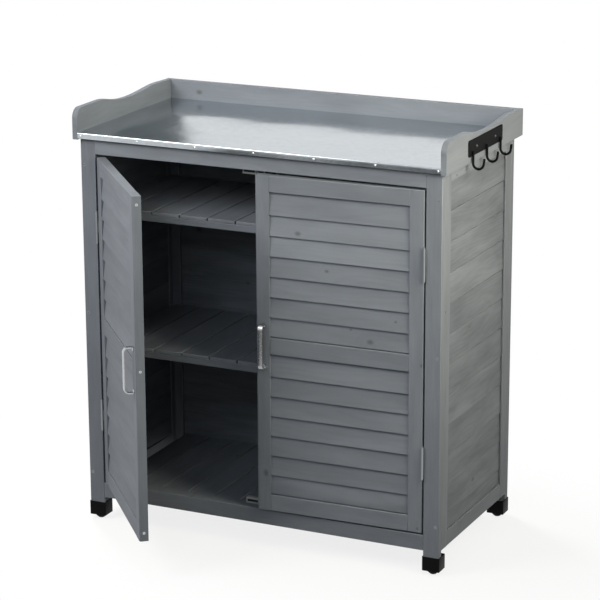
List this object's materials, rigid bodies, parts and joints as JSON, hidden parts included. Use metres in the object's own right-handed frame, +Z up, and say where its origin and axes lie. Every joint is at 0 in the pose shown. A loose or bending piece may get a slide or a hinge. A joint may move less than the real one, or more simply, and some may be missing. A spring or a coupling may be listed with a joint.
{
  "type": "potting bench",
  "caption": "Timber potting bench: slatted cabinet on capped legs with louvred doors, slatted shelves, a sheet metal worktop between splash boards and a hook rail.",
  "frame": {"origin": "on the floor, under the middle of the cabinet's four legs", "axes": "+Z up, -Y out of the front with the doors, +X to the right as seen from the front, towards the hook rail"},
  "size_m": [0.9393, 0.753, 0.98],
  "materials": {
    "grey_timber": "grey stain over open grain",
    "bare_board": "bare, hidden under the sheet",
    "galvanised_sheet": "bright galvanised",
    "zinc_screws": "zinc plated",
    "zinc_hinges": "zinc plated",
    "satin_handles": "satin",
    "strike_steel": "zinc plated",
    "catch_plastic": "pale grey, matt",
    "magnet": "dark sintered magnet",
    "black_plastic": "moulded, matt",
    "black_steel": "black powder coat"
  },
  "bodies": {
    "carcass": {"back_boards": "grey_timber", "back_splash_board": "grey_timber", "catch_housings": "catch_plastic", "catch_magnets": "magnet", "floor_cleats": "grey_timber", "floor_slats": "grey_timber", "foot_caps": "black_plastic", "front_bottom_rail": "grey_timber", "front_left_leg": "grey_timber", "front_right_leg": "grey_timber", "front_top_rail": "grey_timber", "hinge_frame_leaves": "zinc_hinges", "hinge_pins": "zinc_hinges", "hook_plate": "black_steel", "hook_plate_screws": "black_steel", "hooks": "black_steel", "left_bottom_rail": "grey_timber", "left_front_stile": "grey_timber", "left_rear_stile": "grey_timber", "left_siding": "grey_timber", "left_splash_board": "grey_timber", "left_top_rail": "grey_timber", "leg_screws": "zinc_screws", "middle_shelf_battens": "grey_timber", "middle_shelf_cleats": "grey_timber", "middle_shelf_slats": "grey_timber", "rear_bottom_rail": "grey_timber", "rear_left_leg": "grey_timber", "rear_right_leg": "grey_timber", "rear_top_rail": "grey_timber", "right_bottom_rail": "grey_timber", "right_front_stile": "grey_timber", "right_rear_stile": "grey_timber", "right_siding": "grey_timber", "right_splash_board": "grey_timber", "right_top_rail": "grey_timber", "sheet_nails": "zinc_screws", "upper_shelf_battens": "grey_timber", "upper_shelf_cleats": "grey_timber", "upper_shelf_slats": "grey_timber", "worktop_board": "bare_board", "worktop_sheet": "galvanised_sheet"},
    "left_door": {"left_door_bottom_rail": "grey_timber", "left_door_handle": "satin_handles", "left_door_hinge_stile": "grey_timber", "left_door_louvres": "grey_timber", "left_door_meeting_stile": "grey_timber", "left_door_middle_rail": "grey_timber", "left_door_strike_plates": "strike_steel", "left_door_top_rail": "grey_timber", "left_hinge_door_leaves": "zinc_hinges"},
    "right_door": {"right_door_bottom_rail": "grey_timber", "right_door_handle": "satin_handles", "right_door_hinge_stile": "grey_timber", "right_door_louvres": "grey_timber", "right_door_meeting_stile": "grey_timber", "right_door_middle_rail": "grey_timber", "right_door_strike_plates": "strike_steel", "right_door_top_rail": "grey_timber", "right_hinge_door_leaves": "zinc_hinges"}
  },
  "joints": [
    {"name": "left_door_hinge", "type": "hinge", "parent": "carcass", "child": "left_door", "pos_m": [-0.401, -0.2173, 0.484], "axis": [0, 0, -1], "range_deg": [-49.5, 115.5]},
    {"name": "right_door_hinge", "type": "hinge", "parent": "carcass", "child": "right_door", "pos_m": [0.401, -0.2173, 0.484], "axis": [0, 0, 1], "range_deg": [-1.6, 163.4]}
  ]
}
